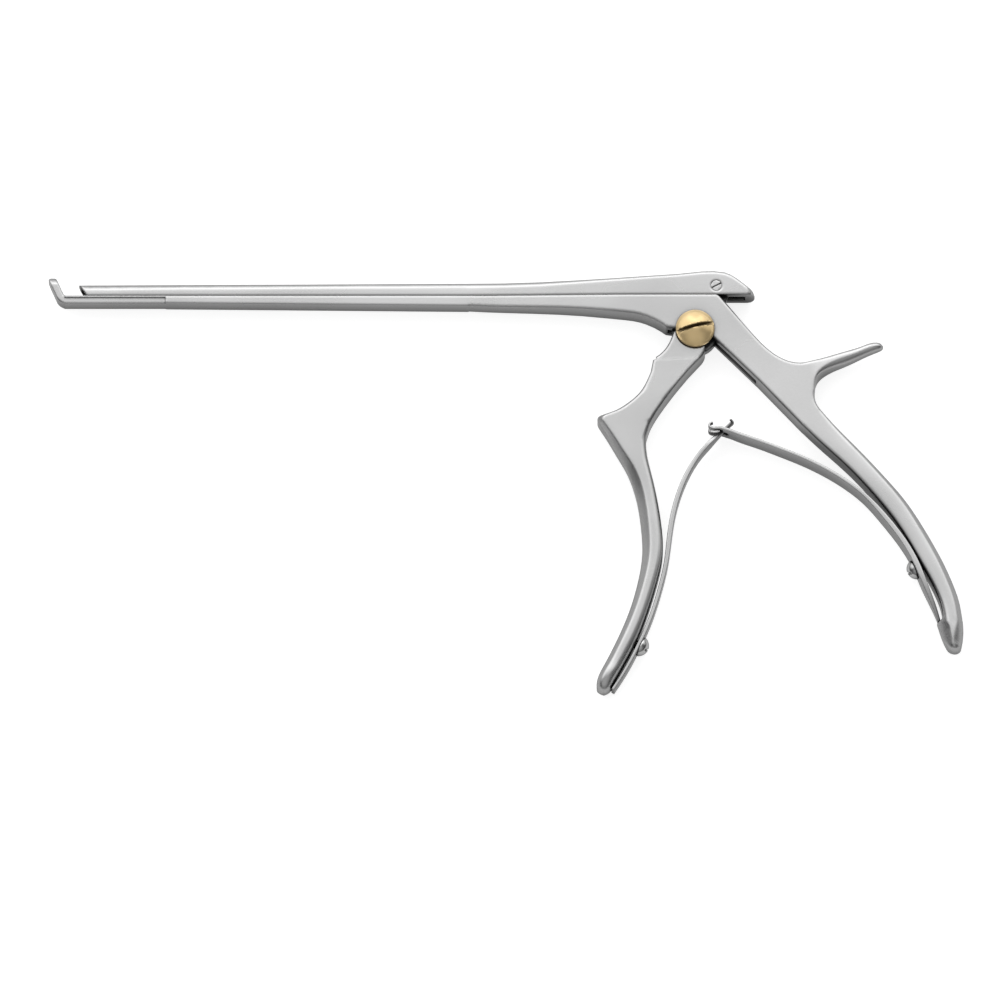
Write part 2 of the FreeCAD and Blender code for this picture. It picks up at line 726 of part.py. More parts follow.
def pivot_screw_piece():
    # Its far end is flush with the nut and with the face that lies on the table.
    shank = rod(pivot_diameter, 0, body_width)
    head = domed_head(head_diameter, head_height, point(0, 0, body_width), point(0, 0, 1))
    slot = block((-head_diameter, head_diameter), (-head_slot_width / 2, head_slot_width / 2),
                 (body_width + head_height - head_slot_depth, body_width + head_height + 1))
    slot.rotate(point(0, 0), point(0, 0, 1), head_slot_angle)
    return shank.fuse(head).cut(slot).removeSplitter()


def pivot_nut_piece():
    nut = rod(nut_diameter, 0, nut_depth)
    nut = nut.cut(rod(pivot_diameter + 2 * seat_clearance, -1, nut_depth + 1))
    half = nut_notch_width / 2
    notches = block((-nut_diameter, nut_diameter), (-half, half), (-1, nut_notch_depth))
    return nut.cut(notches)


def drive_screw_piece():
    head_floor = body_width - drive_head_height
    shank = rod(drive_diameter, body_width - far_thread(), head_floor, drive_offset, drive_y)
    head = rod(drive_head_diameter, head_floor, body_width, drive_offset, drive_y)
    slot = block((-3, 3), (-0.22, 0.22), (body_width - 0.4, body_width + 1))
    slot.rotate(point(0, 0), point(0, 0, 1), 28)
    slot.translate(point(drive_offset, drive_y))
    return shank.fuse(head).cut(slot).removeSplitter()


def front_spring_piece():
    # Its neck passes between the prongs of the rear spring, and a crossbar holds them.
    blade = leaf(front_leaf, 1, front_spring_width)
    end = front_leaf[-1]
    neck_y = (end[1] - 8, end[1] + 2)
    for z in ((0, mid - spring_neck / 2), (mid + spring_neck / 2, body_width)):
        blade = blade.cut(block(neck_x, neck_y, z))
    half = crossbar_length / 2
    crossbar = rod(curl_diameter, mid - half, mid + half, end[0] + 0.2, end[1])
    return blade.fuse(crossbar).cut(screw_hole(*front_screw_seat()))


def rear_spring_piece():
    # Narrower towards the prongs, and pointed at its foot.
    blade = leaf(rear_leaf, -1, rear_spring_width)
    end = rear_leaf[-1]
    curl = rod(curl_diameter, mid - prong_width / 2, mid + prong_width / 2, end[0] + 0.4, end[1])
    blade = blade.fuse(curl)
    slot = (mid - spring_gap / 2, mid + spring_gap / 2)
    blade = blade.cut(block((end[0] - 2, prong_root), (end[1] - 5, end[1] + 3), slot))
    wide = rear_leaf[8][0]
    foot = rear_leaf[0][1] - 1
    shoulder = rear_leaf[3][1]
    for side in (-1, 1):
        edge = mid + side * rear_spring_width / 2
        clear = mid + side * body_width
        taper = [point(wide, -60, edge), point(end[0] - 2, -60, mid + side * prong_width / 2),
                 point(end[0] - 2, -60, clear), point(wide, -60, clear), point(wide, -60, edge)]
        blade = blade.cut(Part.Face(Part.makePolygon(taper)).extrude(point(0, 60, 0)))
        pointed = [point(60, shoulder, edge), point(60, foot, mid + side * foot_width / 2),
                   point(60, foot, clear), point(60, shoulder, clear), point(60, shoulder, edge)]
        blade = blade.cut(Part.Face(Part.makePolygon(pointed)).extrude(point(20, 0, 0)))
    return blade.cut(screw_hole(*rear_screw_seat()))


def spring_screw_piece(seat, outward, thickness):
    # A domed, slotted screw through the leaf into the handle.
    base = point(seat[0] + outward[0] * thickness, seat[1] + outward[1] * thickness, mid)
    head = domed_head(spring_head_diameter, spring_head_height, base, point(*outward))
    shank = screw_shank(seat, outward, spring_screw_diameter, spring_screw_depth, thickness)
    slot = block((-4, 4), (-0.25, 0.25), (spring_head_height - 0.6, spring_head_height + 1))
    slot.Placement = FreeCAD.Placement(base, FreeCAD.Rotation(point(0, 0, 1), point(*outward)))
    return head.fuse(shank).cut(slot).removeSplitter()


def main():
    pieces = {
        "fixed_frame": frame_piece(),
        "slider": slider_piece(),
        "front_handle": front_handle_piece(),
        "pivot_screw": pivot_screw_piece(),
        "pivot_nut": pivot_nut_piece(),
        "drive_screw": drive_screw_piece(),
        "front_spring": front_spring_piece(),
        "rear_spring": rear_spring_piece(),
        "front_spring_screw": spring_screw_piece(*front_screw_seat()),
        "rear_spring_screw": spring_screw_piece(*rear_screw_seat()),
    }
    os.makedirs("parts", exist_ok=True)
    for name, shape in pieces.items():
        shape.exportStep("parts/" + name + ".step")
        print(name, "solids", len(shape.Solids), "valid", shape.isValid(), "volume", round(shape.Volume, 1))


main()
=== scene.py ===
import math
import bmesh
import bpy
import numpy as np
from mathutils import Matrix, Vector


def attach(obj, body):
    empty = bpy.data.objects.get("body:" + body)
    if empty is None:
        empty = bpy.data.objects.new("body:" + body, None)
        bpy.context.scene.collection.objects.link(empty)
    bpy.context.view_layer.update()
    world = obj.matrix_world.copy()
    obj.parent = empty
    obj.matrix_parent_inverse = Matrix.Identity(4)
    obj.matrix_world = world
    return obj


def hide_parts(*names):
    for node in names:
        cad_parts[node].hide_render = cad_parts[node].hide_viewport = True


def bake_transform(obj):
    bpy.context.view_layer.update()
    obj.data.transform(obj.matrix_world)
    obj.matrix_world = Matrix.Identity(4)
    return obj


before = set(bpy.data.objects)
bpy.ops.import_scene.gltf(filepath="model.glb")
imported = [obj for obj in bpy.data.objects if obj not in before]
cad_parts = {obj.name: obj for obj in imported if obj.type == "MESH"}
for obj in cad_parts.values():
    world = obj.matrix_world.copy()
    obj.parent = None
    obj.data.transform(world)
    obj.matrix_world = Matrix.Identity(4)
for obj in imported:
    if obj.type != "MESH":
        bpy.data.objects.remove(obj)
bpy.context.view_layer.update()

# A bone rongeur lying on its side. Lengths in the rows below are millimetres in the CAD frame:
# X from the jaw to the handles, Y from the handles to the slider, Z up from the face it lies on.

mm = 0.001
mid = 4.5
scene = bpy.context.scene
scene.view_settings.view_transform = "Standard"


# Camera: a long lens, tilted a little from straight above towards the handles
photo = dict(width=291.0, centre=(-56.85, -50.7, 4.5), back=(0.0, -0.284, 0.959), distance=10000.0)


def makeCamera():
    data = bpy.data.cameras.new("camera")
    data.sensor_width = 36.0
    data.lens = data.sensor_width * photo["distance"] / photo["width"]
    data.clip_start = 0.05
    data.clip_end = 50.0
    camera = bpy.data.objects.new("camera", data)
    scene.collection.objects.link(camera)
    back = Vector(photo["back"]).normalized()
    camera.location = (Vector(photo["centre"]) + back * photo["distance"]) * mm
    camera.rotation_euler = back.to_track_quat("Z", "Y").to_euler()
    scene.camera = camera


# Node helpers

def newMaterial(name):
    material = bpy.data.materials.new(name)
    material.use_nodes = True
    tree = material.node_tree
    shader = tree.nodes["Principled BSDF"]
    return material, tree, shader


def addNode(tree, kind, **settings):
    node = tree.nodes.new("ShaderNode" + kind)
    for key, value in settings.items():
        setattr(node, key, value)
    return node


def noise(tree, coordinates, scale, stretch=(1, 1, 1), detail=3.0, roughness=0.5):
    # A soft noise over the object's own coordinates, drawn out along its least stretched axis.
    mapping = addNode(tree, "Mapping")
    mapping.inputs["Scale"].default_value = stretch
    tree.links.new(coordinates, mapping.inputs["Vector"])
    texture = addNode(tree, "TexNoise")
    texture.inputs["Scale"].default_value = scale
    texture.inputs["Detail"].default_value = detail
    texture.inputs["Roughness"].default_value = roughness
    tree.links.new(mapping.outputs["Vector"], texture.inputs["Vector"])
    return texture.outputs["Fac"]


def ranged(tree, value, fromLow, fromHigh, toLow, toHigh):
    node = addNode(tree, "MapRange")
    node.inputs["From Min"].default_value = fromLow
    node.inputs["From Max"].default_value = fromHigh
    node.inputs["To Min"].default_value = toLow
    node.inputs["To Max"].default_value = toHigh
    tree.links.new(value, node.inputs["Value"])
    return node.outputs["Result"]


def mixed(tree, share, first, second, blend="MIX"):
    node = addNode(tree, "Mix", data_type="RGBA", blend_type=blend)
    for socket, value in ((0, share), (6, first), (7, second)):
        if isinstance(value, bpy.types.NodeSocket):
            tree.links.new(value, node.inputs[socket])
        else:
            node.inputs[socket].default_value = value
    return node.outputs[2]


def grey(value):
    return (value, value, value, 1.0)


# Metals: a satin face, a fine grain and broad faint clouds, soft edges, and painted shade: a darker side
# tone on walls and edge slopes, and darkening in recesses
metals = dict(
    satin_steel=dict(face=0.66, side=0.30, edgeTint=0.55, recessShadeDarkest=0.12, soft=0.0011, metallic=0.92,
                     roughness=(0.24, 0.30), grain=2600, bump=0.012),
    spring_steel=dict(face=0.62, side=0.30, edgeTint=0.50, recessShadeDarkest=0.14, soft=0.0004, metallic=0.92,
                      roughness=(0.20, 0.26), grain=2600, bump=0.012),
    screw_steel=dict(face=0.72, side=0.36, edgeTint=0.60, recessShadeDarkest=0.14, soft=0.0002, metallic=0.95,
                     roughness=(0.12, 0.18), grain=3000, bump=0.01),
)


# slopes: the upward part of the softened normal over which the painted shade fades; below the first
# value, walls and edge slopes take the darker side tone
steelTones = dict(slopes=(0.74, 0.975), clouds=(0.91, 1.07), specks=(0.985, 1.015), cloudScale=38.0)
recesses = dict(reach=0.009, covered=0.42, open=0.92)
shaderSamples = 8
bumpDepth = 0.0002


def recessShade(tree, darkest):
    # Painted shade: slots, gaps and corners are darkened where much of the sky close over a point is
    # covered.
    openness = addNode(tree, "AmbientOcclusion", samples=shaderSamples)
    openness.inputs["Distance"].default_value = recesses["reach"]
    share = ranged(tree, openness.outputs["AO"], recesses["covered"], recesses["open"], 0.0, 1.0)
    return mixed(tree, share, grey(darkest), grey(1.0))


def makeSteel(name, look):
    material, tree, shader = newMaterial(name)
    place = addNode(tree, "TexCoord").outputs["Object"]
    rounded = addNode(tree, "Bevel", samples=shaderSamples)
    rounded.inputs["Radius"].default_value = look["soft"]
    parts = addNode(tree, "SeparateXYZ")
    tree.links.new(rounded.outputs["Normal"], parts.inputs[0])
    upright = addNode(tree, "Math", operation="ABSOLUTE")
    tree.links.new(parts.outputs["Z"], upright.inputs[0])
    # Painted shade: walls and the outer slopes of edges get the darker side tone, whatever the light,
    # which also draws a dark line along edges
    paintedShadeMix = ranged(tree, upright.outputs[0], *steelTones["slopes"], 0.0, 1.0)
    clouds = noise(tree, place, steelTones["cloudScale"], stretch=(0.7, 1, 1), detail=2.0)
    grain = noise(tree, place, look["grain"], stretch=(0.6, 1, 1))
    tone = mixed(tree, paintedShadeMix, grey(look["side"]), grey(look["face"]))
    darkCloud, lightCloud = map(grey, steelTones["clouds"])
    cloud = mixed(tree, ranged(tree, clouds, 0.3, 0.7, 0.0, 1.0), darkCloud, lightCloud)
    tone = mixed(tree, 1.0, tone, cloud, "MULTIPLY")
    darkSpeck, lightSpeck = map(grey, steelTones["specks"])
    speck = mixed(tree, ranged(tree, grain, 0.35, 0.65, 0.0, 1.0), darkSpeck, lightSpeck)
    tone = mixed(tree, 1.0, tone, speck, "MULTIPLY")
    tone = mixed(tree, 1.0, tone, recessShade(tree, look["recessShadeDarkest"]), "MULTIPLY")
    tree.links.new(tone, shader.inputs["Base Color"])
    low, high = look["roughness"]
    tree.links.new(ranged(tree, clouds, 0.3, 0.7, low, high), shader.inputs["Roughness"])
    shader.inputs["Metallic"].default_value = look["metallic"]
    shader.inputs["Specular Tint"].default_value = grey(look["edgeTint"])
    bump = addNode(tree, "Bump")
    tree.links.new(rounded.outputs["Normal"], bump.inputs["Normal"])
    bump.inputs["Strength"].default_value = look["bump"]
    bump.inputs["Distance"].default_value = bumpDepth
    tree.links.new(grain, bump.inputs["Height"])
    tree.links.new(bump.outputs["Normal"], shader.inputs["Normal"])
    return material


# The darkest painted shade in the brass's slots and gaps is given below, as for the steels.
brass = dict(light=(0.90, 0.68, 0.36, 1), dark=(0.84, 0.62, 0.31, 1), recessShadeDarkest=0.25, metallic=0.55,
             roughness=(0.20, 0.26), clouds=260.0, grain=2400.0, bump=0.03)


def makeBrass():
    material, tree, shader = newMaterial("brass")
    place = addNode(tree, "TexCoord").outputs["Object"]
    clouds = noise(tree, place, brass["clouds"], detail=4.0)
    grain = noise(tree, place, brass["grain"])
    tone = mixed(tree, ranged(tree, clouds, 0.3, 0.7, 0.0, 1.0), brass["dark"], brass["light"])
    tone = mixed(tree, 1.0, tone, recessShade(tree, brass["recessShadeDarkest"]), "MULTIPLY")
    tree.links.new(tone, shader.inputs["Base Color"])
    low, high = brass["roughness"]
    tree.links.new(ranged(tree, grain, 0.3, 0.7, low, high), shader.inputs["Roughness"])
    shader.inputs["Metallic"].default_value = brass["metallic"]
    bump = addNode(tree, "Bump")
    bump.inputs["Strength"].default_value = brass["bump"]
    bump.inputs["Distance"].default_value = bumpDepth
    tree.links.new(grain, bump.inputs["Height"])
    tree.links.new(bump.outputs["Normal"], shader.inputs["Normal"])
    return material


makeCamera()
materials = {name: makeSteel(name, look) for name, look in metals.items()}
materials["brass"] = makeBrass()
print("stage: camera and materials", flush=True)


# Mesh helpers

# Angles in degrees from which shading breaks, in general, on unrounded CAD flats and on springs,
# and from which an edge is rounded
angles = dict(breaks=35.0, flats=12.0, springs=45.0, rounded=32.0)


def finishPiece(name, data, slotName, sharp):
    # Smooth shading, broken at the real edges, and the slot's material. At zero the mesh's breaks stay.
    data.polygons.foreach_set("use_smooth", np.ones(len(data.polygons), bool))
    if sharp > 0:
        data.set_sharp_from_angle(angle=math.radians(sharp))
    data.materials.clear()
    data.materials.append(materials[slotName])
    data.update()
    piece = bpy.data.objects.new(name, data)
    scene.collection.objects.link(piece)
    return piece


def softenEdges(piece, width):
    # Rounds the edges that the mesh marks, then lets the large flat faces keep their own normals.
    if width > 0:
        modifier = piece.modifiers.new("edges", "BEVEL")
        modifier.width = width * mm
        modifier.segments = 2
        modifier.limit_method = "WEIGHT"
        modifier.use_clamp_overlap = False
    shading = piece.modifiers.new("shading", "WEIGHTED_NORMAL")
    shading.mode = "FACE_AREA"
    shading.weight = 60
    shading.keep_sharp = True


def cutCopy(node, cuts):
    # The CAD node's mesh with its faces joined. Planes cut its limbs off and leave their rims open.
    mesh = bmesh.new()
    mesh.from_mesh(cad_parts[node].data)
    bmesh.ops.remove_doubles(mesh, verts=mesh.verts, dist=1e-6)
    rims = []
    for place, outwards in cuts:
        everything = mesh.verts[:] + mesh.edges[:] + mesh.faces[:]
        found = bmesh.ops.bisect_plane(mesh, geom=everything, dist=1e-7, plane_co=Vector(place) * mm,
                                       plane_no=Vector(outwards), clear_outer=True)
        rims.append([item for item in found["geom_cut"] if isinstance(item, bmesh.types.BMEdge)])
    return mesh, [[edge for edge in rim if edge.is_valid and edge.is_boundary] for rim in rims]


def growLimb(mesh, rim, limb):
    # Adds a limb's mesh, whose first ring is open, and closes the strip from the rim to that ring.
    before = set(mesh.edges)
    limb.set_sharp_from_angle(angle=math.radians(angles["breaks"]))
    mesh.from_mesh(limb)
    ring = [edge for edge in mesh.edges if edge.is_boundary and edge not in before]
    bmesh.ops.bridge_loops(mesh, edges=rim + ring)


def sharperThan(edge, angle):
    return len(edge.link_faces) == 2 and edge.calc_face_angle() > math.radians(angle)


def markEdges(mesh):
    # Every sharp edge is marked for rounding.
    weights = mesh.edges.layers.float.new("bevel_weight_edge")
    for edge in mesh.edges:
        edge[weights] = float(sharperThan(edge, angles["rounded"]))


def steelCopy(node, name, slotName, body, width, cuts=(), limbs=()):
    # Without rounding, the shading breaks at every slight edge of the CAD mesh: its flats stay flat.
    mesh, rims = cutCopy(node, cuts)
    for edge in mesh.edges:
        edge.smooth = not sharperThan(edge, angles["flats"])
    for rim, limb in zip(rims, limbs):
        growLimb(mesh, rim, limb)
    if limbs:
        bmesh.ops.recalc_face_normals(mesh, faces=mesh.faces)
    markEdges(mesh)
    data = bpy.data.meshes.new(name)
    mesh.to_mesh(data)
    mesh.free()
    piece = finishPiece(name, data, slotName, angles["breaks"] if width > 0 else 0)
    softenEdges(piece, width)
    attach(piece, body)
    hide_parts(node)
    return piece


def splined(rows, steps):
    # A natural cubic spline through the rows by chord length, with steps points for each span.
    rows = np.array(rows, float)
    spans = np.linalg.norm(np.diff(rows[:, :2], axis=0), axis=1)
    knots = np.concatenate([[0.0], np.cumsum(spans)])
    inner = np.arange(1, len(rows) - 1)
    matrix = np.eye(len(rows))
    right = np.zeros_like(rows)
    matrix[inner, inner - 1] = spans[:-1]
    matrix[inner, inner] = 2 * (spans[:-1] + spans[1:])
    matrix[inner, inner + 1] = spans[1:]
    slopes = np.diff(rows, axis=0) / spans[:, None]
    right[inner] = 6 * np.diff(slopes, axis=0)
    bends = np.linalg.solve(matrix, right)
    pieces = [np.linspace(a, b, steps, endpoint=False) for a, b in zip(knots, knots[1:])]
    at = np.concatenate(pieces + [knots[-1:]])
    span = np.clip(np.searchsorted(knots, at, side="right") - 1, 0, len(spans) - 1)
    h = spans[span][:, None]
    a = ((knots[span + 1] - at)[:, None]) / h
    b = 1 - a
    curve = a * rows[span] + b * rows[span + 1]
    return curve + ((a ** 3 - a) * bends[span] + (b ** 3 - b) * bends[span + 1]) * h * h / 6


def ringFaces(rings, around):
    # Quads between neighbouring rings.
    along, turn = np.meshgrid(np.arange(rings - 1), np.arange(around), indexing="ij")
    following = (turn + 1) % around
    corners = (along * around + turn, along * around + following,
               (along + 1) * around + following, (along + 1) * around + turn)
    return np.stack([corner.ravel() for corner in corners], axis=1)


def meshOf(name, points, faces, caps=()):
    data = bpy.data.meshes.new(name)
    allFaces = faces.tolist() + [list(cap) for cap in caps]
    data.from_pydata((points.reshape(-1, 3) * mm).tolist(), [], allFaces)
    mesh = bmesh.new()
    mesh.from_mesh(data)
    bmesh.ops.remove_doubles(mesh, verts=mesh.verts, dist=1e-7)
    bmesh.ops.recalc_face_normals(mesh, faces=mesh.faces)
    mesh.to_mesh(data)
    mesh.free()
    return data


# The largest share of the width and of the half depth that a corner may take
cornerLimits = dict(width=0.48, half=0.96)


def cornered(width, half, radii, steps, flat=0, straight=0.0):
    # A rounded rectangle for each row, as offsets across and up. Its four corners turn through
    # a quarter circle each, with their own radii, from the start edge below round to the end edge.
    # Straight is how far each corner's arc is drawn to its chord, which makes it a slanted flat.
    # Flat is the number of further points on each of its two broad faces.
    turn = np.linspace(0, math.pi / 2, steps)
    chord = np.linspace(0, 1, steps)
    share = np.linspace(0, 1, flat + 2)[1:-1]
    straight = np.broadcast_to(straight, radii.shape)
    across = []
    up = []
    for index, (alongEnd, upper) in enumerate(((0, -1), (1, -1), (1, 1), (0, 1))):
        limit = np.minimum(cornerLimits["width"] * width, cornerLimits["half"] * half)
        r = np.minimum(radii[:, index], limit)[:, None]
        angle = turn + index * math.pi / 2 + math.pi
        middleX = r if alongEnd == 0 else width[:, None] - r
        middleZ = upper * (half[:, None] - r)
        slant = straight[:, index:index + 1]
        ends = np.cos(angle[[0, -1]]), np.sin(angle[[0, -1]])
        cosine, sine = [e[0] + (e[1] - e[0]) * chord for e in ends]
        across.append(middleX + r * ((1 - slant) * np.cos(angle) + slant * cosine))
        up.append(middleZ + r * ((1 - slant) * np.sin(angle) + slant * sine))
    for index in (2, 0):
        start, end = across[index][:, -1:], across[(index + 1) % 4][:, :1]
        across.insert(index + 1, start + (end - start) * share)
        up.insert(index + 1, np.repeat(up[index][:, -1:], flat, axis=1))
    return np.concatenate(across, axis=1), np.concatenate(up, axis=1)


def bar(name, rows, steps=7, flat=7):
    # A long form. Each row: start edge, end edge, half depth, four corner radii, crown, two slants.
    # Its broad faces swell by the crown in the middle, as one minus the square of the distance.
    start, end = rows[:, 0:2], rows[:, 2:4]
    width = np.linalg.norm(end - start, axis=1)
    way = (end - start) / width[:, None]
    slants = rows[:, [10, 11, 11, 10]]
    across, up = cornered(width, rows[:, 4] - rows[:, 9], rows[:, 5:9], steps, flat, slants)
    fromMiddle = 2 * across / width[:, None] - 1
    up = up + np.sign(up) * rows[:, 9:10] * (1 - fromMiddle ** 2)
    points = np.zeros(across.shape + (3,))
    points[..., 0:2] = start[:, None, :] + way[:, None, :] * across[..., None]
    points[..., 2] = mid + up
    rings, around = across.shape
    last = range((rings - 1) * around, rings * around)
    return meshOf(name, points, ringFaces(rings, around), [last])


# Grips, as rows of a point on the front or inner edge, one on the back or outer edge, and in some
# rows the share of the half depth that is left there
frontRows = [
    (-13.0, -13.0, -2.0, -12.7), (-14.9, -17.2, -5.7, -17.3),
    (-16.6, -19.6, -7.4, -19.6), (-18.6, -21.4, -8.7, -21.4), (-22.6, -24.1, -11.3, -25.3),
    (-26.3, -25.5, -12.6, -27.6), (-28.5, -26.9, -13.3, -29.2), (-27.9, -28.5, -13.9, -31.0),
    (-25.6, -32.2, -14.4, -33.6), (-22.7, -37.3, -14.1, -37.8), (-20.4, -41.4, -13.4, -41.3),
    (-18.6, -45.7, -12.4, -45.4), (-16.9, -51.9, -11.1, -51.5), (-15.8, -59.6, -9.9, -59.3),
    (-15.5, -67.7, -9.5, -67.2), (-16.6, -75.5, -10.7, -74.4), (-19.3, -85.2, -13.4, -84.0),
    (-23.3, -94.8, -17.3, -94.6), (-26.6, -101.4, -20.8, -101.6), (-28.5, -105.6, -22.9, -105.4),
]
frontEndRows = [(-28.8, -107.4, -23.9, -107.2, 0.86), (-28.4, -108.9, -25.0, -108.8, 0.62),
                (-27.5, -109.6, -26.1, -109.6, 0.28)]
rearRows = [
    (31.1, -29.2, 36.1, -24.0), (36.2, -34.2, 40.8, -29.4), (43.9, -41.4, 48.1, -37.0),
    (50.9, -49.0, 55.9, -45.6), (57.4, -57.2, 62.3, -53.6), (61.7, -63.9, 66.9, -61.0),
    (65.8, -71.4, 71.4, -69.3), (69.5, -78.7, 74.8, -77.0), (71.5, -84.4, 76.9, -83.8),
    (71.9, -87.2, 77.5, -87.7),
]
rearEndRows = [(70.2, -88.5, 77.65, -88.6, 1.0), (71.3, -92.0, 77.8, -91.8, 0.99),
               (72.6, -95.0, 77.4, -94.8, 0.92), (73.8, -96.6, 76.8, -96.5, 0.72),
               (74.9, -97.2, 76.0, -97.2, 0.28)]
spurRows = [
    (31.5, -10.1, 34.75, -18.6, 1.0), (33.5, -9.6, 35.2, -15.2, 1.0), (36.8, -8.6, 38.3, -12.1, 0.9),
    (42.9, -6.5, 44.2, -9.7, 0.72), (48.6, -4.45, 49.9, -7.0, 0.58), (52.6, -3.2, 53.5, -5.5, 0.5),
    (54.0, -3.4, 54.5, -5.0, 0.34), (54.7, -4.0, 54.8, -4.6, 0.14),
]
# At the rows numbered here: corner radii on the side of a row's start and of its end, how straight
# those corners are, and the crown
frontShape = dict(
    rows=(0, 2, 6, 9, 11, 14, 17, 19), depth=4.5, crown=(0, 0, 0, 0, 0.02, 0.2, 0.45, 0.5),
    start=(0.7, 0.8, 1.6, 2.2, 2.6, 2.3, 1.7, 1.5),
    startSlant=(0, 0.6, 0.95, 0.95, 0.95, 0.95, 0.9, 0.8),
    end=(0.7, 0.7, 0.9, 1.0, 1.0, 1.5, 2.2, 2.6), endSlant=(0, 0.5, 0.6, 0.6, 0.5, 0.1, 0, 0))
rearShape = dict(
    rows=(0, 2, 5, 9), depth=4.5, crown=(0, 0.20, 0.42, 0.25), start=(0.7, 0.7, 0.8, 1.2),
    startSlant=(0, 0, 0, 0.8), end=(0.7, 0.9, 1.3, 1.6), endSlant=(0, 0.9, 0.95, 0.9))
toeShape = dict(
    rows=(0, 1, 2, 4), depth=4.5, crown=(0.35, 0.2, 0.1, 0.1), start=(3.0, 3.3, 2.6, 2.5),
    startSlant=(0.9, 0.9, 0.8, 0.3), end=(1.6, 2.4, 2.4, 2.5), endSlant=(0.9, 0.8, 0.8, 0.3))
spurShape = dict(
    rows=(0, 1, 4, 7), depth=4.5, crown=(0, 0, 0.2, 0.15), start=(0.7, 0.7, 1.0, 1.4),
    startSlant=(0, 0, 0, 0), end=(0.7, 0.8, 2.2, 2.0), endSlant=(0, 0, 0.5, 0.2))


def gripRows(rows, shape, steps=6):
    # The spline through a limb's rows, with the corners and the crown of its shape.
    index = np.arange(len(rows))
    startRadius, startSlant, endRadius, endSlant, crown = [
        np.interp(index, shape["rows"], shape[key])
        for key in ("start", "startSlant", "end", "endSlant", "crown")]
    table = []
    for place, row in enumerate(rows):
        share = row[4] if len(row) > 4 else 1.0
        radii = (startRadius[place], endRadius[place], endRadius[place], startRadius[place])
        table.append((*row[:4], shape["depth"] * share, *radii, crown[place] * share,
                      startSlant[place], endSlant[place]))
    return splined(table, steps)


def acrossPlane(row, sign=1):
    # A plane through both edge points of a row. Its outer side is the side of the later rows.
    a, b = Vector((row[0], row[1], 0)), Vector((row[2], row[3], 0))
    return tuple(a), sign * (b - a).cross(Vector((0, 0, 1))).normalized()


frontGrip = bar("front_grip", gripRows(frontRows + frontEndRows, frontShape)[1:])
rearTable = np.concatenate([gripRows(rearRows, rearShape)[1:], gripRows(rearEndRows, toeShape)])
rearGrip = bar("rear_grip", rearTable)
spur = bar("spur", gripRows(spurRows, spurShape)[1:])
steelCopy("front_handle", "handle", "satin_steel", "squeeze_handle", 0,
          [acrossPlane(frontRows[0])], [frontGrip])
steelCopy("fixed_frame", "frame_body", "satin_steel", "frame", 0,
          [acrossPlane(rearRows[0]), acrossPlane(spurRows[0], -1)], [rearGrip, spur])
steelCopy("slider", "slider_bar", "satin_steel", "punch", 0)
print("stage: frame, handle, slider and grips", flush=True)


# Screws
steelCopy("pivot_screw", "pivot_head", "brass", "frame", 0.18)
steelCopy("pivot_nut", "pivot_nut_ring", "brass", "frame", 0.12)
steelCopy("drive_screw", "drive_screw_head", "screw_steel", "punch", 0.06)
leafScrews = dict(
    front_leaf_screw=dict(node="front_spring_screw", body="squeeze_handle", seat=(-15.957, -95.173, mid),
                          axis=(0.9017, -0.4324, 0)),
    rear_leaf_screw=dict(node="rear_spring_screw", body="frame", seat=(63.803, -71.882, mid),
                         axis=(-0.9027, -0.4303, 0)),
)
headGrowth = dict(across=1.12, outwards=1.2)


def growHead(data, seat, axis):
    # Draws what lies beyond the seat out along the axis and away from it, so that the head is larger.
    places = np.empty(len(data.vertices) * 3, np.float32)
    data.vertices.foreach_get("co", places)
    offset = places.reshape(-1, 3) - np.array(seat) * mm
    along = (offset @ np.array(axis))[:, None]
    away = offset - along * axis
    grown = np.array(seat) * mm + along * headGrowth["outwards"] * axis + away * headGrowth["across"]
    beyond = along[:, 0] > -1e-6
    places.reshape(-1, 3)[beyond] = grown[beyond]
    data.vertices.foreach_set("co", places)
    data.update()


for name, screw in leafScrews.items():
    piece = steelCopy(screw["node"], name, "screw_steel", screw["body"], 0.12)
    growHead(piece.data, screw["seat"], np.array(screw["axis"]))
print("stage: screws", flush=True)


# Springs: x, y on the side towards the handle, thickness, half width, half of the slot
frontLeaf = [
    (-24.5, -108.4, 1.0, 2.3, 0), (-21.0, -102.8, 1.0, 2.6, 0), (-16.95, -94.7, 1.1, 2.6, 0),
    (-15.0, -90.3, 1.15, 2.6, 0), (-12.6, -83.8, 1.15, 2.6, 0), (-10.7, -77.1, 1.2, 2.6, 0),
    (-9.2, -70.2, 1.3, 2.6, 0), (-8.4, -63.4, 1.45, 2.6, 0), (-7.4, -56.5, 1.45, 2.6, 0),
    (-5.7, -49.7, 1.45, 2.6, 0), (-3.1, -43.2, 1.4, 2.6, 0), (0.6, -37.2, 1.25, 2.6, 0),
    (4.4, -32.8, 1.15, 2.5, 0), (6.2, -31.0, 1.05, 1.7, 0), (7.6, -29.7, 1.0, 1.15, 0),
    (9.0, -28.4, 0.9, 1.1, 0), (10.6, -27.0, 0.7, 1.6, 0),
]
rearLeaf = [
    (71.2, -87.6, 0.9, 1.3, 0), (70.1, -84.0, 1.15, 2.4, 0), (68.7, -80.2, 1.35, 3.3, 0),
    (66.6, -74.6, 1.6, 4.1, 0), (65.25, -71.2, 1.6, 4.2, 0), (63.3, -67.2, 1.6, 4.2, 0),
    (59.4, -61.1, 1.6, 4.2, 0), (54.9, -55.4, 1.5, 4.2, 0), (49.9, -50.1, 1.2, 4.15, 0),
    (44.1, -45.5, 1.05, 4.1, 0), (38.0, -41.7, 1.0, 4.05, 0), (31.5, -38.4, 1.0, 4.0, 0),
    (24.8, -35.6, 1.0, 3.95, 0), (18.1, -33.0, 1.0, 3.9, 0), (13.0, -31.2, 1.0, 3.85, 0),
]
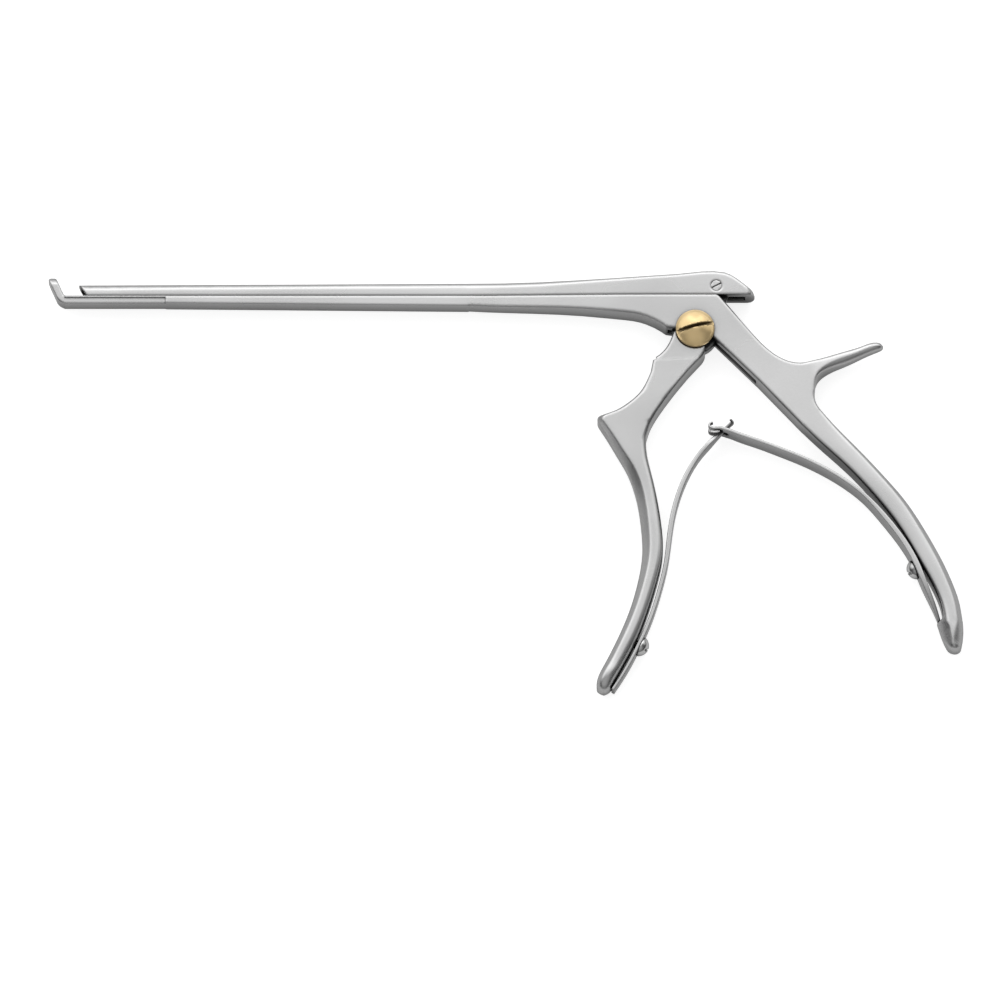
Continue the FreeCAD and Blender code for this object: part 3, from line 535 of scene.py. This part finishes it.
rearProngs = [
    (10.2, -30.1, 1.0, 3.8, 0), (9.6, -29.9, 1.0, 3.8, 1.0), (8.8, -29.7, 0.95, 3.8, 1.35),
    (7.2, -29.3, 0.9, 3.8, 1.4), (5.8, -29.45, 0.75, 3.8, 1.4), (4.9, -29.4, 0.7, 3.8, 1.4),
    (4.4, -29.05, 0.65, 3.75, 1.45), (4.6, -28.6, 0.6, 3.7, 1.5), (5.2, -28.4, 0.5, 3.6, 1.6),
]
leafRounding = 0.22


def leafHalf(rows, side):
    # One half of a flat spring, from the middle plane out: rings that go across its thickness.
    line = rows[:, 0:2]
    way = np.gradient(line, axis=0)
    way /= np.linalg.norm(way, axis=1)[:, None]
    outwards = side * np.stack([way[:, 1], -way[:, 0]], axis=1)
    thickness, wide, slot = rows[:, 2], rows[:, 3], np.maximum(rows[:, 4], 0)
    rounding = np.full(len(rows), leafRounding)
    inner = np.minimum(slot, leafRounding)
    half = (wide - slot) / 2
    radii = np.stack([inner, inner, rounding, rounding], axis=1)
    through, up = cornered(thickness, half, radii, 5)
    points = np.zeros(through.shape + (3,))
    points[..., 0:2] = line[:, None, :] + outwards[:, None, :] * through[..., None]
    points[..., 2] = (slot + half)[:, None] + up
    return points, slot


def makeSpring(name, rows, side):
    # Both halves, joined along the middle plane wherever there is no slot between them.
    points, slot = leafHalf(rows, side)
    rings, around = points.shape[:2]
    faces = ringFaces(rings, around)
    # The quads along a ring's two lower corners, and between them, lie on the middle plane.
    middleWall = np.tile(np.arange(around) < around // 2 - 1, rings - 1)
    joined = np.repeat((slot[:-1] < 1e-6) & (slot[1:] < 1e-6), around)
    faces = faces[~(middleWall & joined)]
    near, far = points.copy(), points.copy()
    near[..., 2] = mid + points[..., 2]
    far[..., 2] = mid - points[..., 2]
    count = rings * around
    capFirst = list(range(around))
    capLast = list(range(count - around, count))
    both = np.concatenate([faces, faces[:, ::-1] + count])
    caps = [capFirst, capLast, [c + count for c in capFirst], [c + count for c in capLast]]
    return meshOf(name, np.concatenate([near.reshape(-1, 3), far.reshape(-1, 3)]), both, caps)


def tube(name, path, radius, around=16):
    # A round bar along a path, with its ends drawn in.
    path = np.asarray(path, float)
    way = np.gradient(path, axis=0)
    way /= np.linalg.norm(way, axis=1)[:, None]
    side = np.cross(way, (1.0, 0.0, 0.0))
    side /= np.linalg.norm(side, axis=1)[:, None]
    other = np.cross(way, side)
    angle = np.linspace(0, 2 * math.pi, around, endpoint=False)
    cosine, sine = np.cos(angle)[None, :, None], np.sin(angle)[None, :, None]
    ring = side[:, None, :] * cosine + other[:, None, :] * sine
    points = path[:, None, :] + ring * np.asarray(radius)[:, None, None]
    rings = len(path)
    return meshOf(name, points, ringFaces(rings, around),
                  (range(around), range((rings - 1) * around, rings * around)))


leafSteps = 6
slotLeast = 0.05
crossbar = dict(x=10.9, y=-27.3, half=3.4, bow=0.8, radius=0.38, rings=25)


def makeSprings():
    # The slot between the rear spring's prongs starts beyond the leaf itself. The crossbar bows back.
    rows = splined(frontLeaf, leafSteps)
    mesh = makeSpring("front_leaf", rows, 1)
    front = finishPiece("front_leaf", mesh, "spring_steel", angles["springs"])
    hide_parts("front_spring")
    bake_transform(front)
    share = np.linspace(-1, 1, crossbar["rings"])
    path = np.stack([crossbar["x"] - crossbar["bow"] * share ** 2, np.full_like(share, crossbar["y"]),
                     mid + crossbar["half"] * share], axis=1)
    radius = crossbar["radius"] * np.sqrt(np.clip(1 - share ** 12, 0.08, 1))
    mesh = tube("front_leaf_crossbar", path, radius)
    hook = finishPiece("front_leaf_crossbar", mesh, "spring_steel", angles["springs"])
    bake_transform(hook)
    rows = splined(rearLeaf + rearProngs, leafSteps)
    rows[:, 4] = np.where(rows[:, 4] < slotLeast, 0, rows[:, 4])
    rows[:(len(rearLeaf) - 1) * leafSteps, 4] = 0
    mesh = makeSpring("rear_leaf", rows, -1)
    rear = finishPiece("rear_leaf", mesh, "spring_steel", angles["springs"])
    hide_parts("rear_spring")
    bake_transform(rear)


makeSprings()
print("stage: springs", flush=True)


# Floor and light
base = 0.13
lobes = [
    dict(towards=(0.05, 0.40, 0.915), strength=0.67, edge=0.80),
    dict(towards=(-0.68, 0.52, 0.50), strength=1.20, edge=0.62),
    dict(towards=(0.0, 0.93, 0.37), strength=1.02, edge=0.75),
    dict(towards=(0.75, 0.6, 0.30), strength=0.80, edge=0.70),
    dict(towards=(0.38, 0.60, 0.68), strength=0.40, edge=0.82),
    dict(towards=(0.0, -0.80, 0.60), strength=0.38, edge=0.45),
]
lamps = [("key", (0.15, 1.1, 1.3), 0.5, 0.9), ("fill", (-0.9, -0.3, 1.4), 0.2, 1.2)]


def makeFloor():
    # It glows to the camera and in reflections only, and keeps the shadows that fall on it.
    data = bpy.data.meshes.new("floor")
    data.from_pydata([(-30, -30, 0), (30, -30, 0), (30, 30, 0), (-30, 30, 0)], [], [(0, 1, 2, 3)])
    floor = bpy.data.objects.new("floor", data)
    scene.collection.objects.link(floor)
    material = bpy.data.materials.new("floor_white")
    material.use_nodes = True
    tree = material.node_tree
    tree.nodes.clear()
    output = addNode(tree, "OutputMaterial")
    matt = addNode(tree, "BsdfDiffuse")
    matt.inputs["Color"].default_value = (0.5, 0.5, 0.5, 1)
    glow = addNode(tree, "Emission")
    glow.inputs["Strength"].default_value = 0.82
    nothing = addNode(tree, "Emission")
    nothing.inputs["Strength"].default_value = 0.0
    path = addNode(tree, "LightPath")
    seen = path.outputs["Is Camera Ray"]
    for name in ("Is Glossy Ray", "Is Transmission Ray"):
        either = addNode(tree, "Math", operation="MAXIMUM")
        tree.links.new(seen, either.inputs[0])
        tree.links.new(path.outputs[name], either.inputs[1])
        seen = either.outputs[0]
    choose = addNode(tree, "MixShader")
    tree.links.new(seen, choose.inputs[0])
    tree.links.new(nothing.outputs[0], choose.inputs[1])
    tree.links.new(glow.outputs[0], choose.inputs[2])
    both = addNode(tree, "AddShader")
    tree.links.new(matt.outputs[0], both.inputs[0])
    tree.links.new(choose.outputs[0], both.inputs[1])
    tree.links.new(both.outputs[0], output.inputs["Surface"])
    data.materials.append(material)


def makeWorld():
    # A dim room with broad soft lights: each is brightest in its own direction and fades smoothly.
    world = bpy.data.worlds.new("studio")
    scene.world = world
    world.use_nodes = True
    tree = world.node_tree
    background = tree.nodes["Background"]
    background.inputs["Color"].default_value = (1, 1, 1, 1)
    direction = addNode(tree, "TexCoord").outputs["Generated"]
    total = None
    for lobe in lobes:
        dot = addNode(tree, "VectorMath", operation="DOT_PRODUCT")
        tree.links.new(direction, dot.inputs[0])
        dot.inputs[1].default_value = Vector(lobe["towards"]).normalized()
        part = addNode(tree, "MapRange", interpolation_type="SMOOTHERSTEP")
        tree.links.new(dot.outputs["Value"], part.inputs["Value"])
        for key, number in (("From Min", lobe["edge"]), ("From Max", 1.0), ("To Min", 0.0),
                            ("To Max", lobe["strength"])):
            part.inputs[key].default_value = number
        adding = addNode(tree, "Math", operation="ADD")
        adding.inputs[0].default_value = base
        if total is not None:
            tree.links.new(total, adding.inputs[0])
        tree.links.new(part.outputs["Result"], adding.inputs[1])
        total = adding.outputs[0]
    tree.links.new(total, background.inputs["Strength"])


def lamp(name, place, energy, size):
    data = bpy.data.lights.new(name, "AREA")
    data.shape = "DISK"
    data.size = size
    data.energy = energy
    holder = bpy.data.objects.new(name, data)
    scene.collection.objects.link(holder)
    holder.visible_camera = False
    holder.location = place
    aim = Vector(photo["centre"]) * mm
    holder.rotation_euler = (Vector(place) - aim).to_track_quat("Z", "Y").to_euler()


makeFloor()
makeWorld()
for name, place, energy, size in lamps:
    lamp(name, place, energy, size)
print("stage: floor and light", flush=True)
